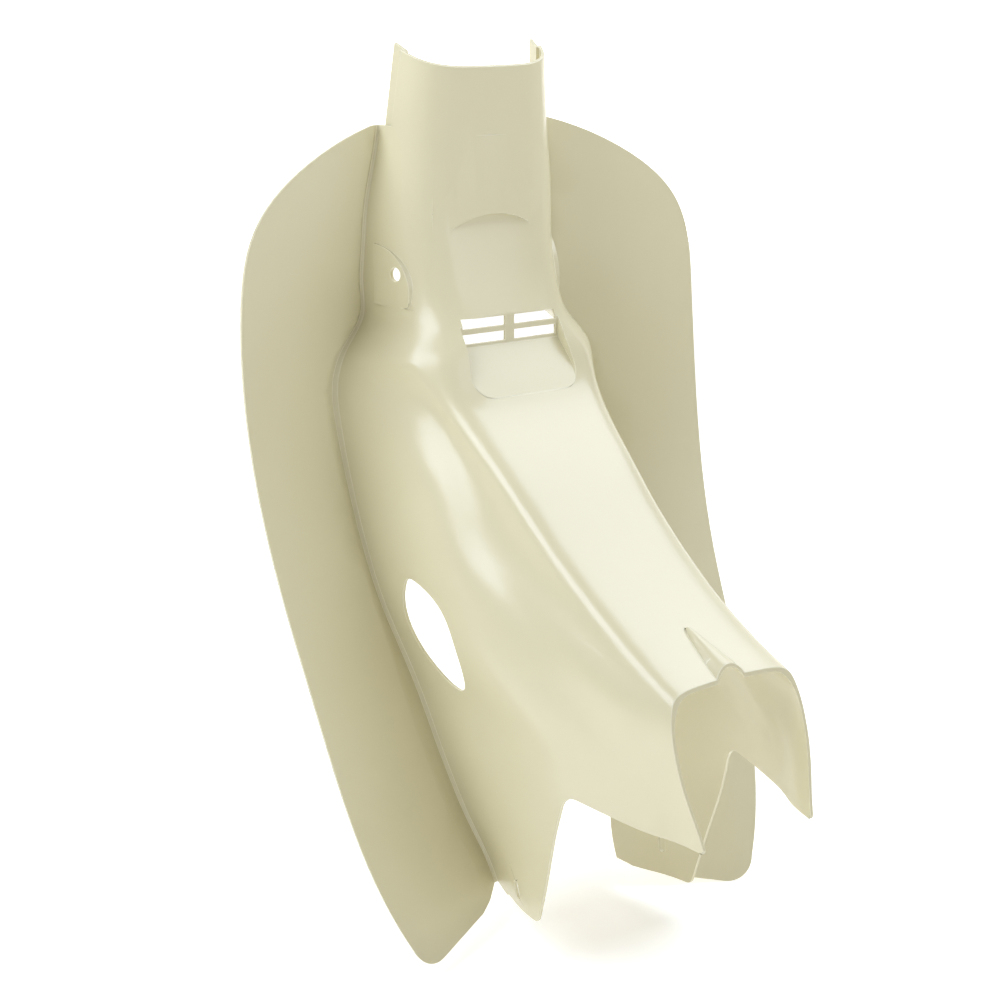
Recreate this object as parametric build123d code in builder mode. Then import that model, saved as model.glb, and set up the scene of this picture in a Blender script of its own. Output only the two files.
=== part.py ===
from build123d import *
import os
from math import atan2, cos, hypot, radians, sin, sqrt, tan

# Leg shield of a step-through scooter: one thin plastic moulding, open at the front.
# The origin is midway between the upper bolt holes, +X right, +Y forward, +Z up.

# General sizes
wall = 2.5
half_span = 224.0
wing_top = 118.0
neck_half = 84.0
loft_top = 204.0
loft_bottom = -548.0
loft_steps = 28

# Wings: rear face, swept back towards its outer edge and bent rearwards at the knees
wing_edge_y = -12.0
wing_bend_top = -18.0
wing_bend_radius = 560.0
wing_lean = 28.0
wing_sweep_top = 0.25
wing_sweep_low = 0.38
wing_margin = 16.0

# Guide lines down the shield, as (height, value)
# roof: how far back the middle of the neck and the tunnel lies
roof = [(204, -28), (120, -23), (52, -23), (2, -35), (-57, -66), (-88, -81), (-143, -147),
        (-195, -221), (-245, -323), (-275, -420), (-340, -460), (-540, -470)]
# shoulder: half width of the neck and the tunnel, shoulder_drop: how far forward of the roof
shoulder = [(204, 62), (120, 72), (2, 76), (-40, 79), (-88, 74), (-165, 64), (-257, 60), (-304, 62),
            (-364, 53), (-540, 53)]
shoulder_drop = [(204, 30), (2, 34), (-40, 34), (-60, 23), (-88, 16), (-165, 22), (-257, 50),
                 (-304, 90), (-540, 60)]
# fold: where the wing turns in to the body, with the valley beside it
fold = [(204, 74), (117, 80), (40, 91), (-39, 92), (-62, 119), (-100, 137), (-175, 131),
        (-300, 117), (-380, 108), (-440, 96), (-490, 80), (-540, 72)]
valley_width = [(204, 4), (-30, 4), (-60, 11), (-100, 13), (-250, 11), (-360, 21), (-460, 20),
                (-540, 12)]
valley_depth = [(204, 4), (-30, 4), (-100, 6), (-540, 6)]
# neck_taper: how much narrower the neck is at its roof than at the valley
neck_taper = [(204, 7), (120, 7), (0, 16), (-40, 10)]
# crease: rear edge of the side panel
crease_x = [(-50, 84), (-75, 84), (-151, 94), (-230, 97), (-267, 97), (-349, 84), (-400, 85),
            (-460, 80), (-540, 78)]
crease_y = [(-50, -12), (-75, -33), (-115, -56), (-205, -116), (-267, -163), (-349, -242),
            (-400, -225), (-460, -210), (-540, -215)]
# edge: front edge of the recess beside the tunnel
edge_x = [(-50, 80), (-90, 78), (-161, 79), (-203, 81), (-257, 80), (-349, 70), (-400, 80), (-540, 76)]
edge_y = [(-50, -30), (-90, -54), (-161, -109), (-203, -141), (-257, -216), (-349, -315),
          (-400, -290), (-540, -270)]
recess = [(-110, 0), (-150, 2.5), (-190, 3), (-230, 0)]
# haunch and crown: shares of the shoulder's half width and drop
haunch = (0.84, 0.26)
crown = (0.42, 0.04)
# roof_share: how far each corner from the crease to the middle leans with the roof
roof_share = [0, 0, 0, 0.35, 0.7, 1, 1]
neck_square = 3.6
panel_top = -40.0
panel_full = -100.0
panel_start = 0.25
panel_stretch = 1.8
crest_round = 1.6
valley_round = 4.0
inner_round = 0.9

# Outline of the wing from the front down to its toe, as (distance in from the half span, height)
wing_outline = [(65, 87), (19, 45), (2, -30), (2, -140), (14, -310), (30, -445), (52, -504)]
wing_toe = (80, -521)
wing_heel = (88, -510)
toe_round = 26.0
notch_top = (62, -497)
body_half = 92.0
right_drop = 12.0
drop_from = -310.0

# Neck: sloping rim and front edges with a stepped-in lip
rim_front = (15, 182)
rim_slope = 24.2
neck_front_top = (5, 182)
neck_front_low = (12, 118)
lip_length = 11.0
lip_overlap = 4.0
lip_step = 3.0

# Tunnel end and lower edge from the side, as (y, height)
tunnel_end_top = (-343, -250)
tunnel_tip = (-383, -364)
notch = (-253, -361)
flap_back = (-239, -413)
flap_tip = (-214, -490)
flap_front = (-150, -497)
tip_round = 3.0
notch_round = 16.0
flap_round = 8.0

# Bolt pads on the neck sides
bolt_hole = 11.5
pad_x = 78.5
pad_turn = 15.0
pad_back = -15.0
pad_top = 23.0
pad_bottom = -27.0
pad_front = 24.0
pad_foot = 15.0
pad_arc = 40.0
pad_corner = 6.0

# Brow above the grille
brow_half = 53.0
brow_crown = 47.0
brow_ends = 23.0
brow_step = 4.0
brow_fade = 63.0
brow_radius = 156.0

# Air grille and the scoop below it
grille_y = -51.0
grille_half = 48.0
grille_top = -33.0
sill_z = -56.0
scoop_end = (-81.5, -90.5)
scoop_end_half = 53.0
scoop_round = 16.0
scoop_rise = 20.0
scoop_past = 2.0
scoop_reach = 60.0
bar_width = 9.0
bar_height = 4.6

# Raised rib at the end of the tunnel roof
rib_height = 7.0
rib_half = 12.0
rib_length = 50.0
rib_run = 30.0
rib_over = 12.0
rib_flare = 1.2
rib_tip = 2.0

# Lower fixing slots and the opening in the left panel, as (y, height)
slot_at = (-178, -478)
slot_length = 16.0
slot_width = 7.0
slot_turn = 75.0
leaf = [(-58, -243), (-54, -262), (-79, -305), (-129, -315), (-126, -277), (-80, -240)]
leaf_from = 45.0


def follow(line, z):
    """Smooth value at height z through (height, value) pairs, level beyond both ends."""
    p = sorted(line)
    if z <= p[0][0]:
        return p[0][1]
    if z >= p[-1][0]:
        return p[-1][1]
    slopes = [(b[1] - a[1]) / (b[0] - a[0]) for a, b in zip(p, p[1:])]
    inner = [0 if s * t <= 0 else 2 * s * t / (s + t) for s, t in zip(slopes, slopes[1:])]
    m = [slopes[0], *inner, slopes[-1]]
    i = max(k for k in range(len(p) - 1) if p[k][0] <= z)
    h = p[i + 1][0] - p[i][0]
    t = (z - p[i][0]) / h
    rise = (3 - 2 * t) * t * t
    bend = h * t * (1 - t) * (m[i] * (1 - t) - m[i + 1] * t)
    return p[i][1] + (p[i + 1][1] - p[i][1]) * rise + bend


def wing_y(x, z):
    """Rear face of the wing at the given half width and height."""
    drop = max(0.0, wing_bend_top - z)
    arc = min(drop, wing_bend_radius * sin(radians(wing_lean)))
    back = wing_bend_radius - sqrt(wing_bend_radius**2 - arc**2)
    back += (drop - arc) * tan(radians(wing_lean))
    low = min(1.0, max(0.0, (wing_top - z) / (wing_top - wing_bend_top)))
    sweep = wing_sweep_top + (wing_sweep_low - wing_sweep_top) * low
    return wing_edge_y - back + sweep * (half_span - x)


def between(a, b, share):
    return (a[0] + (b[0] - a[0]) * share, a[1] + (b[1] - a[1]) * share)


def along(a, b, distance):
    return between(a, b, distance / hypot(b[0] - a[0], b[1] - a[1]))


def flip(p):
    return (-p[0], p[1])


def corners(z):
    """Corner points of the right half of the outer line at height z, wing to middle."""
    outer = half_span + wing_margin
    wing = (outer, wing_y(outer, z))
    x_fold = follow(fold, z)
    crest = (x_fold, wing_y(x_fold, z))
    x_valley = x_fold - follow(valley_width, z)
    valley = (x_valley, wing_y(x_valley, z) + follow(valley_depth, z))
    y_roof = follow(roof, z)
    x_side = follow(shoulder, z)
    drop = follow(shoulder_drop, z)
    side = (x_side, y_roof + drop)
    crease = (follow(crease_x, z), follow(crease_y, z))
    edge = (follow(edge_x, z), follow(edge_y, z))
    middle = between(edge, side, 0.5)
    middle = (middle[0] - follow(recess, z), middle[1])
    roof_points = [(x_side * x, y_roof + drop * y) for x, y in (haunch, crown, (0, 0))]
    tunnel = [crease, edge, middle, side, *roof_points]
    low = min(1.0, max(0.0, (panel_top - z) / (panel_top - panel_full)))
    body = []
    for i, p in enumerate(tunnel, start=1):
        angle = radians(90 * i / len(tunnel))
        back = sin(angle) ** (2 / neck_square)
        across = max(0.0, cos(angle)) ** (2 / neck_square)
        neck = (
            (x_valley - follow(neck_taper, z) * back) * across,
            valley[1] + (y_roof - valley[1]) * back,
        )
        body.append(between(neck, p, low))
    return [wing, crest, valley, *body]


def inset(points, distances):
    """Each point moved to the inner side along its mitre by its own distance."""
    mirrored = points + [flip(p) for p in reversed(points[:-1])]
    moved = []
    for i, p in enumerate(points):
        pairs = [(mirrored[i - 1], p)] * (i > 0) + [(p, mirrored[i + 1])]
        normals = []
        for a, b in pairs:
            length = hypot(b[0] - a[0], b[1] - a[1])
            normals.append(((b[1] - a[1]) / length, (a[0] - b[0]) / length))
        n, m = normals[0], normals[-1]
        reach = distances[i] / (1 + n[0] * m[0] + n[1] * m[1])
        moved.append((p[0] + (n[0] + m[0]) * reach, p[1] + (n[1] + m[1]) * reach))
    return moved


def inner_corners(z, gap):
    """Corner points a true distance inside the outer line, allowing for the slope of each face."""
    above, below = z + wall, z - wall
    roof_lean = hypot(1, (follow(roof, above) - follow(roof, below)) / (above - below))
    wing_tilt = hypot(1, (wing_y(half_span, above) - wing_y(half_span, below)) / (above - below))
    distances = [gap * wing_tilt] * 3 + [gap * (1 + (roof_lean - 1) * s) for s in roof_share]
    return inset(corners(z), distances)


def section_line(z, gap):
    """Draw the rear line of the shield at height z, a given distance inside the outer face."""
    outer = corners(z)
    points = inner_corners(z, gap)
    wing, crest, valley, crease = points[:4]
    into = atan2(outer[2][1] - outer[1][1], outer[2][0] - outer[1][0])
    out = atan2(outer[3][1] - outer[2][1], outer[3][0] - outer[2][0])
    turn = abs((out - into + radians(180)) % radians(360) - radians(180))
    slope_length = hypot(outer[1][0] - outer[2][0], outer[1][1] - outer[2][1])
    round_valley = min(valley_round, slope_length / 2) + inner_round * gap * tan(turn / 2)
    start = between(along(valley, crease, round_valley), crease, panel_start)
    for side in (lambda p: p, flip):
        crest_in, crest_out = along(crest, wing, crest_round), along(crest, valley, crest_round)
        valley_in, valley_out = along(valley, crest, round_valley), along(valley, crease, round_valley)
        Line(side(wing), side(crest_in))
        Line(side(crest_in), side(crest_out))
        Line(side(crest_out), side(valley_in))
        Line(side(valley_in), side(valley_out))
        Line(side(valley_out), side(start))
    body = [start, *points[3:], *[flip(p) for p in reversed(points[3:-1])], flip(start)]
    whole = len(body) - 3 + 2 * panel_stretch
    inside = [(panel_stretch + i) / whole for i in range(len(body) - 2)]
    lead = Vector(crease[0] - start[0], crease[1] - start[1]) * (whole / panel_stretch)
    add(
        Edge.make_spline(
            [Vector(*p) for p in body],
            tangents=[lead, Vector(lead.X, -lead.Y)],
            parameters=[0, *inside, 1],
            scale=False,
        )
    )
    return wing


def band(z):
    """Thin section of the moulding at height z."""
    with BuildSketch(Plane.XY.offset(z)) as sketch:
        with BuildLine():
            outer = section_line(z, 0)
            inner = section_line(z, wall)
            Line(outer, inner)
            Line(flip(outer), flip(inner))
        make_face()
    return sketch.sketch


levels = [loft_top + (loft_bottom - loft_top) * i / loft_steps for i in range(loft_steps + 1)]


def filled(z):
    """Section at height z of everything in front of the middle of the wall."""
    front = wing_y(0, loft_top) + wall * 4
    with BuildSketch(Plane.XY.offset(z)) as sketch:
        with BuildLine():
            x, y = section_line(z, wall / 2)
            Polyline((x, y), (x, front), (-x, front), (-x, y))
        make_face()
    return sketch.sketch


with BuildPart() as core:
    loft([filled(z) for z in levels])


def brow_form(inside):
    """Raised arch that steps down to the face above the grille, or its hollow inside."""
    top = brow_crown + brow_fade
    tilt = atan2(brow_step, brow_fade)
    axis = Plane(
        (0, follow(roof, brow_crown) - brow_step + brow_radius, brow_crown),
        x_dir=(1, 0, 0),
        z_dir=(0, sin(tilt), cos(tilt)),
    )
    with BuildPart() as form:
        with BuildSketch(Plane.XZ):
            with BuildLine():
                low = ThreePointArc(
                    (-brow_half, brow_ends), (0, brow_crown + inside), (brow_half, brow_ends)
                )
                Polyline(low @ 1, (brow_half, top), (-brow_half, top), low @ 0)
            make_face()
        extrude(amount=2 * wall - follow(roof, brow_crown) + 4 * brow_step)
        with BuildSketch(axis.offset(-brow_fade)):
            Circle(brow_radius - inside)
        extrude(amount=3 * brow_fade, mode=Mode.INTERSECT)
    return form.part


# Brow
with BuildPart() as brow:
    add(brow_form(0))
    add(core.part, mode=Mode.SUBTRACT)



def pad_face(side):
    """Outer face of the bolt pad on the given side, turned a little to the rear."""
    turn = radians(pad_turn)
    return Plane((side * pad_x, 0, 0), x_dir=(0, 0, 1), z_dir=(side * cos(turn), -sin(turn), 0))


# Bolt pads
with BuildPart() as pads:
    with BuildSketch(Plane.YZ.offset(pad_x / 2)):
        with BuildLine():
            rear = Line((pad_back, pad_bottom), (pad_back, pad_bottom + pad_foot))
            RadiusArc(rear @ 1, (pad_front, pad_top), pad_arc)
            Polyline((pad_front, pad_top), (pad_front, pad_bottom), rear @ 0)
        make_face()
        fillet(vertices().group_by(Axis.X)[0].sort_by(Axis.Y)[0], pad_corner)
    extrude(amount=pad_x)
    split(bisect_by=pad_face(1), keep=Keep.BOTTOM)
    add(core.part, mode=Mode.SUBTRACT)
    mirror(about=Plane.YZ)


def scoop_form(grow):
    """Hollow behind the grille that runs out to the roof, grown by the given wall."""
    top = grille_top + scoop_rise
    fall = Vector(0, scoop_end[0] - grille_y, scoop_end[1] - sill_z)
    floor = Plane((0, grille_y, sill_z), x_dir=(1, 0, 0), z_dir=fall.cross(Vector(1, 0, 0)))
    with BuildPart() as form:
        with BuildSketch(Plane.XZ.offset(-grille_y - grow)):
            with BuildLine():
                Polyline(
                    (grille_half, top),
                    (grille_half, sill_z),
                    (scoop_end_half, scoop_end[1] - scoop_past),
                    (-scoop_end_half, scoop_end[1] - scoop_past),
                    (-grille_half, sill_z),
                    (-grille_half, top),
                    close=True,
                )
            make_face()
            fillet(vertices().group_by(Axis.Y)[0], scoop_round)
            if grow:
                offset(amount=grow)
        extrude(amount=scoop_reach)
        split(bisect_by=floor.offset(-grow), keep=Keep.TOP)
    return form.part


# Scoop below the grille
with BuildPart() as scoop:
    add(scoop_form(wall))
    add(core.part, mode=Mode.INTERSECT)


def rib_form(inside):
    """Rib that grows wider and higher towards the tunnel end, or its hollow inside."""
    z_end = tunnel_end_top[1]
    rise = follow(roof, z_end + rib_run) - follow(roof, z_end)
    along_roof = Vector(0, rise, rib_run).normalized()
    up = Vector(1, 0, 0).cross(along_roof)
    round_radius = (rib_half**2 + rib_height**2) / (2 * rib_height)
    end = Vector(0, follow(roof, z_end), z_end)
    base = end - up * (round_radius - rib_height) - along_roof * rib_over
    tip = end + along_roof * rib_length
    axis = tip - base
    with BuildPart(Plane(base, x_dir=(1, 0, 0), z_dir=axis)) as form:
        Cone(
            round_radius * rib_flare - inside,
            max(rib_tip - inside, rib_tip / rib_over),
            axis.length,
            align=(Align.CENTER, Align.CENTER, Align.MIN),
        )
    return form.part


# Rib at the end of the tunnel roof
with BuildPart() as rib:
    add(rib_form(0))
    add(core.part, mode=Mode.SUBTRACT)


def lip_section(z):
    """Section of the strip that is stepped in along the front edge of the neck."""
    share = (z - neck_front_low[1]) / (neck_front_top[1] - neck_front_low[1])
    edge = neck_front_low[0] + (neck_front_top[0] - neck_front_low[0]) * share
    valley, near, far = corners(z)[2:5]

    def at(y, depth):
        a, b = (far, near) if y < near[1] else (near, valley)
        length = hypot(b[0] - a[0], b[1] - a[1])
        p = between(a, b, (y - a[1]) / (b[1] - a[1]))
        return (p[0] - (b[1] - a[1]) / length * depth, p[1] + (b[0] - a[0]) / length * depth)

    with BuildSketch(Plane.XY.offset(z)) as sketch:
        with BuildLine():
            Polyline(
                at(edge - lip_overlap, wall / 2),
                at(edge - lip_overlap / 4, wall / 2),
                at(edge - lip_overlap / 4, lip_step),
                at(edge + lip_length, lip_step),
                at(edge + lip_length, lip_step + wall),
                at(edge - lip_overlap, lip_step + wall),
                close=True,
            )
        make_face()
    return sketch.sketch


# Lips of the neck
with BuildPart() as lips:
    loft([lip_section(z) for z in (wing_top - 2 * wall, loft_top)], ruled=True)
    mirror(about=Plane.YZ)


def wing_edge(side, drop):
    """Half of the front outline, with the foot of the wing lowered by the given drop."""

    def at(x, z):
        return (side * x, z - drop * max(0.0, drop_from - z) / (drop_from - wing_outline[-1][1]))

    Polyline(at(0, loft_top), at(neck_half, loft_top), at(neck_half, wing_top))
    *outer, toe = [at(half_span - x, z) for x, z in [*wing_outline, wing_toe]]
    Spline(at(neck_half, wing_top), *outer)
    RadiusArc(outer[-1], toe, side * toe_round)
    Polyline(toe, at(*wing_heel), at(*notch_top), (0, notch_top[1]))


def lower_cut(drop):
    """Side view of what is cut away behind the tunnel end and below the tunnel and the flap."""
    over = between(tunnel_tip, tunnel_end_top, 1.5)
    tip = (flap_tip[0], flap_tip[1] - drop)
    front = (flap_front[0], flap_front[1] - drop)
    rear, foot = 2 * tunnel_tip[0], 2 * loft_bottom
    edge = [over, tunnel_tip, notch, flap_back, tip, front]
    with BuildSketch(Plane.YZ) as sketch:
        with BuildLine():
            Polyline(*edge, (front[0], foot), (rear, foot), (rear, over[1]), close=True)
        make_face()
        for corner, size in ((tunnel_tip, tip_round), (notch, notch_round), (tip, flap_round)):
            fillet(vertices().sort_by_distance((*corner, 0))[0], size)
    return sketch.sketch


with BuildPart() as leg_shield:
    loft([band(z) for z in levels])
    # Front edges of the neck
    over = between(neck_front_low, neck_front_top, 1.5)
    with BuildSketch(Plane.YZ.offset(-half_span)):
        with BuildLine():
            Polyline(over, neck_front_low, (half_span, wing_top), (half_span, over[1]), close=True)
        make_face()
    extrude(amount=2 * half_span, mode=Mode.SUBTRACT)
    add(lips.part)
    add(pads.part)
    add(brow.part)
    add(brow_form(wall), mode=Mode.SUBTRACT)
    add(rib.part)
    add(rib_form(wall), mode=Mode.SUBTRACT)
    add(scoop.part)
    add(scoop_form(0), mode=Mode.SUBTRACT)
    # Windows of the grille
    window_width = grille_half - wall - bar_width / 2
    window_height = (grille_top - sill_z - bar_height - wall) / 2
    window_middle = grille_top - window_height - bar_height / 2
    with BuildSketch(Plane.XZ.offset(-grille_y + wall)):
        with Locations((0, window_middle)):
            with GridLocations(window_width + bar_width, window_height + bar_height, 2, 2):
                Rectangle(window_width, window_height)
    extrude(amount=-4 * wall, mode=Mode.SUBTRACT)
    # Rim of the neck
    rise = radians(rim_slope)
    rim = Plane((0, *rim_front), z_dir=(0, -sin(rise), cos(rise)))
    split(bisect_by=rim, keep=Keep.BOTTOM)
    # Outline of the wings from the front
    with BuildSketch(Plane.XZ.offset(-half_span)):
        with BuildLine():
            wing_edge(1, right_drop)
            wing_edge(-1, 0)
        make_face()
    extrude(amount=half_span - 2 * tunnel_tip[0], mode=Mode.INTERSECT)
    # Tunnel end, lower edge and flaps
    for side, drop in ((1, right_drop), (-1, 0)):
        extrude(lower_cut(drop), amount=side * body_half, mode=Mode.SUBTRACT)
    # Upper bolt holes, square to their pads
    for side in (1, -1):
        with BuildSketch(pad_face(side).offset(pad_front)):
            Circle(bolt_hole / 2)
        extrude(amount=-2 * pad_front, mode=Mode.SUBTRACT)
    # Lower slots
    with BuildSketch(Plane.YZ.offset(-body_half)):
        with Locations(slot_at):
            SlotOverall(slot_length, slot_width, rotation=slot_turn)
    extrude(amount=2 * body_half, mode=Mode.SUBTRACT)
    # Leaf-shaped opening in the left panel
    with BuildSketch(Plane.YZ.offset(-leaf_from)):
        with BuildLine():
            Spline(*leaf, periodic=True)
        make_face()
    extrude(amount=leaf_from - half_span / 2, mode=Mode.SUBTRACT)

os.makedirs("parts", exist_ok=True)
leg_shield.part.label = "leg_shield"
export_step(leg_shield.part, "parts/leg_shield.step")
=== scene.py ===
"""Looks of a moulded scooter leg shield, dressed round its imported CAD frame."""

import logging
import math
from dataclasses import dataclass
from enum import Enum
from typing import Any

import bpy
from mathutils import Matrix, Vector


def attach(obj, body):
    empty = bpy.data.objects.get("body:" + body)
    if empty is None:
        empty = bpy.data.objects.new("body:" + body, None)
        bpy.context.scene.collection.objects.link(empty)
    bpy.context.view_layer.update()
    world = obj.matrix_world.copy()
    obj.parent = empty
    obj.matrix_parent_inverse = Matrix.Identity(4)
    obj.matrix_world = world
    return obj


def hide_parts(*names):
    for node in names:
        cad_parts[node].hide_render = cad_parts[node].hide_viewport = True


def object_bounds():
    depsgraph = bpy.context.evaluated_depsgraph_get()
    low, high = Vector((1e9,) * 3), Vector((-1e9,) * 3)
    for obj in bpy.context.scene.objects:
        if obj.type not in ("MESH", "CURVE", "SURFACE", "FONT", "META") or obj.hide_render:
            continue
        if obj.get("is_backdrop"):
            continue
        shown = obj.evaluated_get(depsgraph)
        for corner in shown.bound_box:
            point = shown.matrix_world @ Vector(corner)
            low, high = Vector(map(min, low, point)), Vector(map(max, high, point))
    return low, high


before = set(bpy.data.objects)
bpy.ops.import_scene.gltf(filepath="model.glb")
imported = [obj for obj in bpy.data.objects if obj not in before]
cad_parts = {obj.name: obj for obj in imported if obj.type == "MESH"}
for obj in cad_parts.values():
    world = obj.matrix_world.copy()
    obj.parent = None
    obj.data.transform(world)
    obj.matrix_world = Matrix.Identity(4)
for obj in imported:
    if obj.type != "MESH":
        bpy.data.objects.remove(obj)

MM = 0.001
ROOT_BODY = "root"
WHITE = "#FFFFFF"
UPRIGHT = math.radians(90.0)

# The Mix node repeats its socket names for each data type, so they go by number
MIX_FACTOR, MIX_VALUE_A, MIX_VALUE_B, MIX_COLOUR_A, MIX_COLOUR_B = 0, 2, 3, 6, 7
MIX_VALUE_OUT, MIX_COLOUR_OUT = 0, 2

logging.basicConfig(level=logging.INFO, format="%(message)s")
log = logging.getLogger("leg_shield")


class Lamp(Enum):
    """The soft lights of the studio."""

    OVERHEAD = "overhead_softbox"
    LEFT_FILL = "left_fill"
    RIGHT_FILL = "right_fill"


def linear(hex_code: str) -> tuple[float, float, float, float]:
    """Turns an sRGB hex value into a linear colour.

    Args:
        hex_code: six hex digits after a hash sign.

    Returns:
        Red, green and blue in linear light, and full alpha.
    """
    shares = [int(hex_code[i : i + 2], 16) / 255 for i in (1, 3, 5)]
    # The standard sRGB curve: straight near black and a power above it
    red, green, blue = (
        share / 12.92 if share <= 0.04045 else ((share + 0.055) / 1.055) ** 2.4
        for share in shares
    )
    return (red, green, blue, 1.0)


def add_node(
    tree: bpy.types.NodeTree,
    kind: str,
    inputs: dict[str | int, Any] | None = None,
    **settings: Any,
) -> bpy.types.Node:
    """Adds one node to a tree, with its settings, values and links.

    Args:
        tree: the node tree that gets the node.
        kind: Blender's type name for the node.
        inputs: a value, or an output socket to link, for each named or numbered input.
        settings: the node's own properties.

    Returns:
        The new node.
    """
    node = tree.nodes.new(kind)
    for name, value in settings.items():
        setattr(node, name, value)
    for name, value in (inputs or {}).items():
        if isinstance(value, bpy.types.NodeSocket):
            tree.links.new(value, node.inputs[name])
        else:
            node.inputs[name].default_value = value
    return node


def only_select(piece: bpy.types.Object) -> None:
    """Leaves one object selected and active.

    Args:
        piece: the object that the next operators act on.
    """
    bpy.ops.object.select_all(action="DESELECT")
    piece.select_set(True)
    bpy.context.view_layer.objects.active = piece


@dataclass(frozen=True)
class IvoryPolypropylene:
    """Injection-moulded polypropylene from a polished mould.

    The pigment gives an opaque, warm ivory. The skin is glossy, with the faint ripple
    and the slow drift in colour and gloss of a large thin moulding, and it is a little
    duller on the rounded edges. Those edges are also painted paler, a painted
    highlight that stands in for the light they catch.
    """

    name: str = "ivory_polypropylene"
    body_hex: str = "#DFD9B9"
    drift_hex: str = "#DCD5B2"
    # Paler colour of the rounded edges: a painted highlight, not a colour of the plastic
    edge_highlight_hex: str = "#E4DFC3"
    ior: float = 1.49
    shine: float = 0.7
    roughness_low: float = 0.23
    roughness_high: float = 0.28
    edge_roughness: float = 0.32
    drift_mm: float = 180.0
    drift_detail: float = 2.0
    gloss_patch_mm: float = 45.0
    gloss_patch_detail: float = 4.0
    # Drawn coarser than the real ripple of a few millimetres, so that it shows
    ripple_mm: float = 14.0
    ripple_detail: float = 1.0
    ripple_height_mm: float = 0.012
    edge_attribute: str = "rounded_edge"

    def material(self) -> bpy.types.Material:
        """Builds the node material.

        Returns:
            A material for the whole moulding.
        """
        made = bpy.data.materials.new(self.name)
        made.use_nodes = True
        tree = made.node_tree
        tree.nodes.clear()
        place = add_node(tree, "ShaderNodeTexCoord").outputs["Object"]
        drift = add_node(
            tree,
            "ShaderNodeTexNoise",
            {
                "Vector": place,
                "Scale": 1 / (self.drift_mm * MM),
                "Detail": self.drift_detail,
            },
        )
        body = add_node(
            tree,
            "ShaderNodeMix",
            {
                MIX_FACTOR: drift.outputs["Fac"],
                MIX_COLOUR_A: linear(self.body_hex),
                MIX_COLOUR_B: linear(self.drift_hex),
            },
            data_type="RGBA",
        )
        edge = add_node(
            tree, "ShaderNodeAttribute", attribute_name=self.edge_attribute
        ).outputs["Fac"]
        # Painted highlight: the rounded edges get a paler colour in place of the light
        # that they catch
        colour = add_node(
            tree,
            "ShaderNodeMix",
            {
                MIX_FACTOR: edge,
                MIX_COLOUR_A: body.outputs[MIX_COLOUR_OUT],
                MIX_COLOUR_B: linear(self.edge_highlight_hex),
            },
            data_type="RGBA",
        )
        patches = add_node(
            tree,
            "ShaderNodeTexNoise",
            {
                "Vector": place,
                "Scale": 1 / (self.gloss_patch_mm * MM),
                "Detail": self.gloss_patch_detail,
            },
        )
        gloss = add_node(
            tree,
            "ShaderNodeMapRange",
            {
                "Value": patches.outputs["Fac"],
                "To Min": self.roughness_low,
                "To Max": self.roughness_high,
            },
        )
        roughness = add_node(
            tree,
            "ShaderNodeMix",
            {
                MIX_FACTOR: edge,
                MIX_VALUE_A: gloss.outputs["Result"],
                MIX_VALUE_B: self.edge_roughness,
            },
            data_type="FLOAT",
        )
        ripple = add_node(
            tree,
            "ShaderNodeTexNoise",
            {
                "Vector": place,
                "Scale": 1 / (self.ripple_mm * MM),
                "Detail": self.ripple_detail,
            },
        )
        bump = add_node(
            tree,
            "ShaderNodeBump",
            {"Height": ripple.outputs["Fac"], "Distance": self.ripple_height_mm * MM},
        )
        skin = add_node(
            tree,
            "ShaderNodeBsdfPrincipled",
            {
                "Base Color": colour.outputs[MIX_COLOUR_OUT],
                "Roughness": roughness.outputs[MIX_VALUE_OUT],
                "Normal": bump.outputs["Normal"],
                "IOR": self.ior,
                "Specular IOR Level": self.shine,
            },
        )
        add_node(tree, "ShaderNodeOutputMaterial", {"Surface": skin.outputs["BSDF"]})
        return made


@dataclass(frozen=True)
class PaleMatt:
    """Matt white acrylic sheet lit from behind: even and pale, with no gloss."""

    name: str
    glow: float
    colour_hex: str = "#F7F7F5"
    roughness: float = 0.9

    def material(self) -> bpy.types.Material:
        """Builds the plain sheet material.

        Returns:
            A material for the floor or the backdrop.
        """
        made = bpy.data.materials.new(self.name)
        made.use_nodes = True
        tree = made.node_tree
        tree.nodes.clear()
        sheet = add_node(
            tree,
            "ShaderNodeBsdfPrincipled",
            {
                "Base Color": linear(self.colour_hex),
                "Roughness": self.roughness,
                "Emission Color": linear(WHITE),
                "Emission Strength": self.glow,
            },
        )
        add_node(tree, "ShaderNodeOutputMaterial", {"Surface": sheet.outputs["BSDF"]})
        return made


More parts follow.
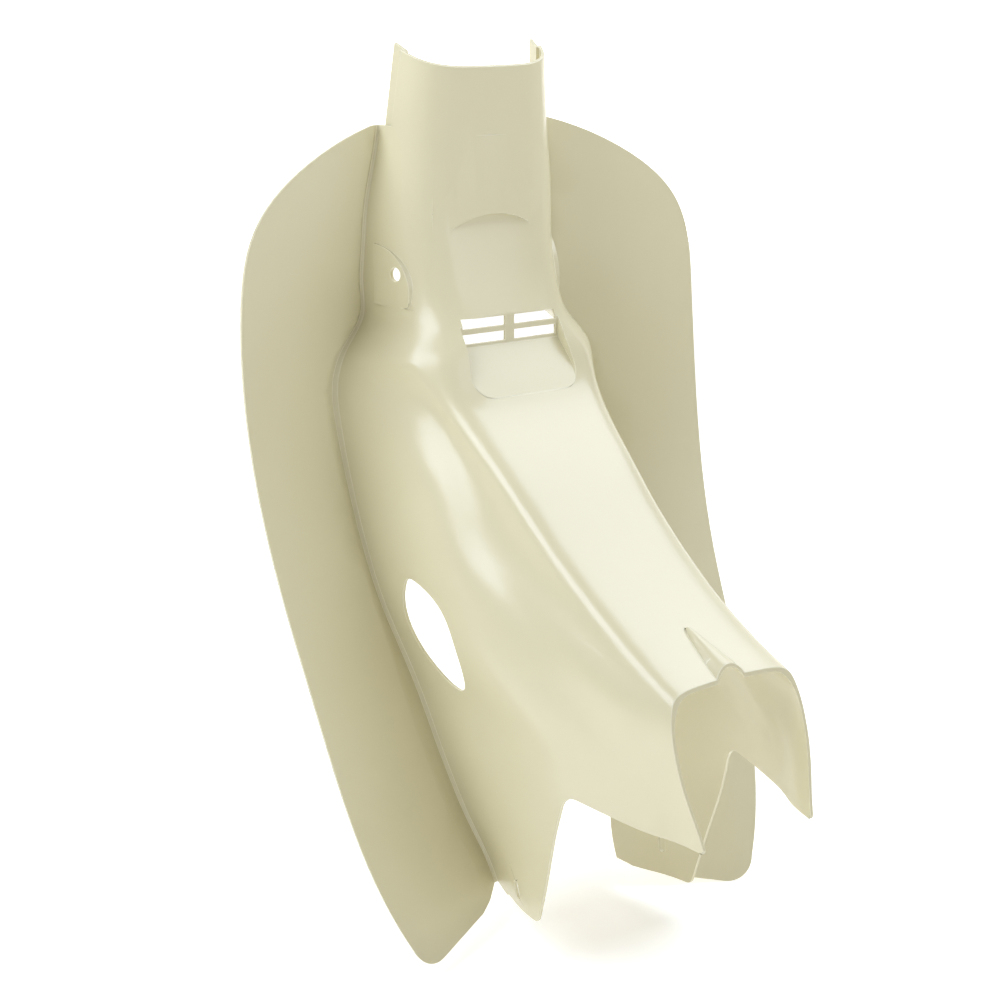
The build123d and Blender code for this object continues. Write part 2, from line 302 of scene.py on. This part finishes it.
@dataclass
class ShieldMoulding:
    """The one moulded piece: neck, wings, panels and tunnel in a single thin wall.

    It is a welded copy of the CAD solid with its crisp edges rounded a little, so that
    they catch the light.
    """

    node: str = "leg_shield"
    slot: str = "ivory_plastic"
    name: str = "leg_shield_moulding"
    weld_mm: float = 0.02
    edge_round_mm: float = 0.45
    edge_segments: int = 2
    crisp_deg: float = 32.0
    face_group: str = "moulded_faces"

    def weld_copy(self) -> bpy.types.Object:
        """Copies the CAD solid and joins its loose triangles into one skin.

        Returns:
            The new object, at the origin.
        """
        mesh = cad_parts[self.node].data.copy()
        mesh.name = self.name
        piece = bpy.data.objects.new(self.name, mesh)
        bpy.context.scene.collection.objects.link(piece)
        only_select(piece)
        bpy.ops.object.mode_set(mode="EDIT")
        bpy.ops.mesh.select_all(action="SELECT")
        bpy.ops.mesh.remove_doubles(threshold=self.weld_mm * MM)
        bpy.ops.mesh.customdata_custom_splitnormals_clear()
        bpy.ops.object.mode_set(mode="OBJECT")
        return piece

    def soften_edges(self, piece: bpy.types.Object) -> list[int]:
        """Rounds the crisp edges by a little and shades the rest smooth.

        Args:
            piece: the welded skin, with a second material slot for the rounded edges.

        Returns:
            For each face, 1 where it is part of a rounded edge and 0 elsewhere.
        """
        only_select(piece)
        rounding = piece.modifiers.new("edge_rounding", "BEVEL")
        rounding.width = self.edge_round_mm * MM
        rounding.segments = self.edge_segments
        rounding.limit_method = "ANGLE"
        rounding.angle_limit = math.radians(self.crisp_deg)
        rounding.use_clamp_overlap = False
        rounding.material = 1
        bpy.ops.object.modifier_apply(modifier=rounding.name)
        bpy.ops.object.shade_smooth_by_angle(angle=math.radians(self.crisp_deg))
        return [face.material_index for face in piece.data.polygons]

    def keep_surface_normals(self, piece: bpy.types.Object, rounded: list[int]) -> None:
        """Gives the moulded faces the exact normals of the CAD surfaces.

        Args:
            piece: the skin with its rounded edges.
            rounded: 1 for each face of a rounded edge.
        """
        points = {
            point
            for face, edge in zip(piece.data.polygons, rounded)
            if not edge
            for point in face.vertices
        }
        group = piece.vertex_groups.new(name=self.face_group)
        group.add(list(points), 1.0, "REPLACE")
        normals = piece.modifiers.new("surface_normals", "DATA_TRANSFER")
        normals.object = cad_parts[self.node]
        normals.use_loop_data = True
        normals.data_types_loops = {"CUSTOM_NORMAL"}
        normals.loop_mapping = "POLYINTERP_NEAREST"
        normals.vertex_group = self.face_group
        bpy.ops.object.modifier_apply(modifier=normals.name)
        piece.vertex_groups.clear()

    def build(self, finish: IvoryPolypropylene) -> bpy.types.Object:
        """Makes the moulding, dresses it and sets it on the frame.

        Args:
            finish: the plastic that it is moulded in.

        Returns:
            The finished piece.
        """
        piece = self.weld_copy()
        plastic = finish.material()
        piece.data.materials.clear()
        piece.data.materials.append(plastic)
        # The second slot marks the rounded edges until an attribute takes over
        piece.data.materials.append(plastic)
        rounded = self.soften_edges(piece)
        self.keep_surface_normals(piece, rounded)
        layer = piece.data.attributes.new(finish.edge_attribute, "FLOAT", "FACE")
        layer.data.foreach_set("value", rounded)
        piece.data.polygons.foreach_set("material_index", [0] * len(rounded))
        piece.data.materials.pop(index=1)
        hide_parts(self.node)
        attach(piece, ROOT_BODY)
        return piece


@dataclass
class SoftLight:
    """One rectangular soft light, aimed at the shield, in metres and watts."""

    lamp: Lamp
    place: tuple[float, float, float]
    width: float
    depth: float
    power: float
    colour_hex: str = "#EAF1FF"

    def build(self, aim: Vector) -> bpy.types.Object:
        """Adds the light.

        Args:
            aim: the point that it faces.

        Returns:
            The new light.
        """
        bpy.ops.object.light_add(type="AREA", location=self.place)
        light = bpy.context.object
        light.name = self.lamp.value
        light.data.shape = "RECTANGLE"
        light.data.size = self.width
        light.data.size_y = self.depth
        light.data.energy = self.power
        light.data.color = linear(self.colour_hex)[:3]
        facing = aim - Vector(self.place)
        light.rotation_euler = facing.to_track_quat("-Z", "Y").to_euler()
        return light


@dataclass
class Studio:
    """Pale floor and backdrop, soft light and the camera at the photo's angle."""

    floor_size: float = 400.0
    floor_glow: float = 0.38
    backdrop_size: float = 8.0
    backdrop_far: float = 5.2
    backdrop_glow: float = 0.95
    world_hex: str = "#FFF4DC"
    world_strength: float = 0.2
    horizon_strength: float = 0.7
    # Upward shares of a direction, between which the horizon's band fades out
    horizon_low: float = 0.03
    horizon_high: float = 0.08
    camera_place: tuple[float, float, float] = (-0.8005, -1.2694, 0.2456)
    camera_tilt_deg: float = 73.301
    camera_turn_deg: float = -32.989
    lens: float = 64.8
    sensor: float = 36.0
    lights: tuple[SoftLight, ...] = (
        SoftLight(Lamp.OVERHEAD, (0.9, -0.1, 1.3), 1.3, 1.3, 19.5),
        SoftLight(Lamp.LEFT_FILL, (-1.3, 0.0, 1.0), 1.2, 1.2, 24.0),
        SoftLight(Lamp.RIGHT_FILL, (0.6, -1.6, 0.7), 1.2, 1.2, 7.0),
    )

    def lay_floor(self, height: float) -> bpy.types.Object:
        """Lays the floor under the lowest point of the shield.

        Args:
            height: the floor's height in metres.

        Returns:
            The floor.
        """
        bpy.ops.object.select_all(action="DESELECT")
        bpy.ops.mesh.primitive_plane_add(
            size=self.floor_size, location=(0.0, 0.0, height)
        )
        floor = bpy.context.object
        floor.name = "floor"
        floor.data.materials.append(PaleMatt("pale_floor", self.floor_glow).material())
        floor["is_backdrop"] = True
        return floor

    def hang_backdrop(self, height: float) -> bpy.types.Object:
        """Hangs the white backdrop square to the camera's heading, behind the shield.

        Args:
            height: the floor's height in metres.

        Returns:
            The backdrop.
        """
        turn = math.radians(self.camera_turn_deg)
        x, y, _ = self.camera_place
        foot = (
            x - math.sin(turn) * self.backdrop_far,
            y + math.cos(turn) * self.backdrop_far,
            height,
        )
        bpy.ops.object.select_all(action="DESELECT")
        bpy.ops.mesh.primitive_plane_add(
            size=self.backdrop_size, location=foot, rotation=(UPRIGHT, 0.0, turn)
        )
        backdrop = bpy.context.object
        backdrop.name = "backdrop"
        sheet = PaleMatt("pale_backdrop", self.backdrop_glow)
        backdrop.data.materials.append(sheet.material())
        backdrop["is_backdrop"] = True
        return backdrop

    def light(self, aim: Vector) -> None:
        """Lights the room, paler in a low band at the horizon, and adds the lights.

        Args:
            aim: the point that the soft lights face.
        """
        world = bpy.data.worlds.new("studio")
        world.use_nodes = True
        bpy.context.scene.world = world
        tree = world.node_tree
        tree.nodes.clear()
        heading = add_node(tree, "ShaderNodeTexCoord").outputs["Generated"]
        rise = add_node(tree, "ShaderNodeSeparateXYZ", {"Vector": heading}).outputs["Z"]
        strength = add_node(
            tree,
            "ShaderNodeMapRange",
            {
                "Value": rise,
                "From Min": self.horizon_low,
                "From Max": self.horizon_high,
                "To Min": self.horizon_strength,
                "To Max": self.world_strength,
            },
        )
        sky = add_node(
            tree,
            "ShaderNodeBackground",
            {"Color": linear(self.world_hex), "Strength": strength.outputs["Result"]},
        )
        add_node(tree, "ShaderNodeOutputWorld", {"Surface": sky.outputs["Background"]})
        for soft_light in self.lights:
            soft_light.build(aim)

    def set_camera(self) -> bpy.types.Object:
        """Adds the camera and makes it the scene's own.

        Returns:
            The camera.
        """
        tilt = math.radians(self.camera_tilt_deg)
        turn = math.radians(self.camera_turn_deg)
        bpy.ops.object.camera_add(
            location=self.camera_place, rotation=(tilt, 0.0, turn)
        )
        camera = bpy.context.object
        camera.name = "camera"
        camera.data.lens = self.lens
        camera.data.sensor_width = self.sensor
        bpy.context.scene.camera = camera
        return camera

    def build(self, low: Vector, high: Vector) -> None:
        """Sets up the whole studio round the shield's box.

        Args:
            low: lowest corner of the shield.
            high: highest corner of the shield.
        """
        bpy.context.scene.view_settings.view_transform = "Standard"
        self.lay_floor(low.z)
        self.hang_backdrop(low.z)
        self.light((low + high) / 2)
        self.set_camera()


def main() -> None:
    """Builds the moulding and its studio, and reports each piece."""
    cad_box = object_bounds()
    moulding = ShieldMoulding().build(IvoryPolypropylene())
    log.info("%s: %d faces", moulding.name, len(moulding.data.polygons))
    Studio().build(*cad_box)


if __name__ == "__main__":
    main()
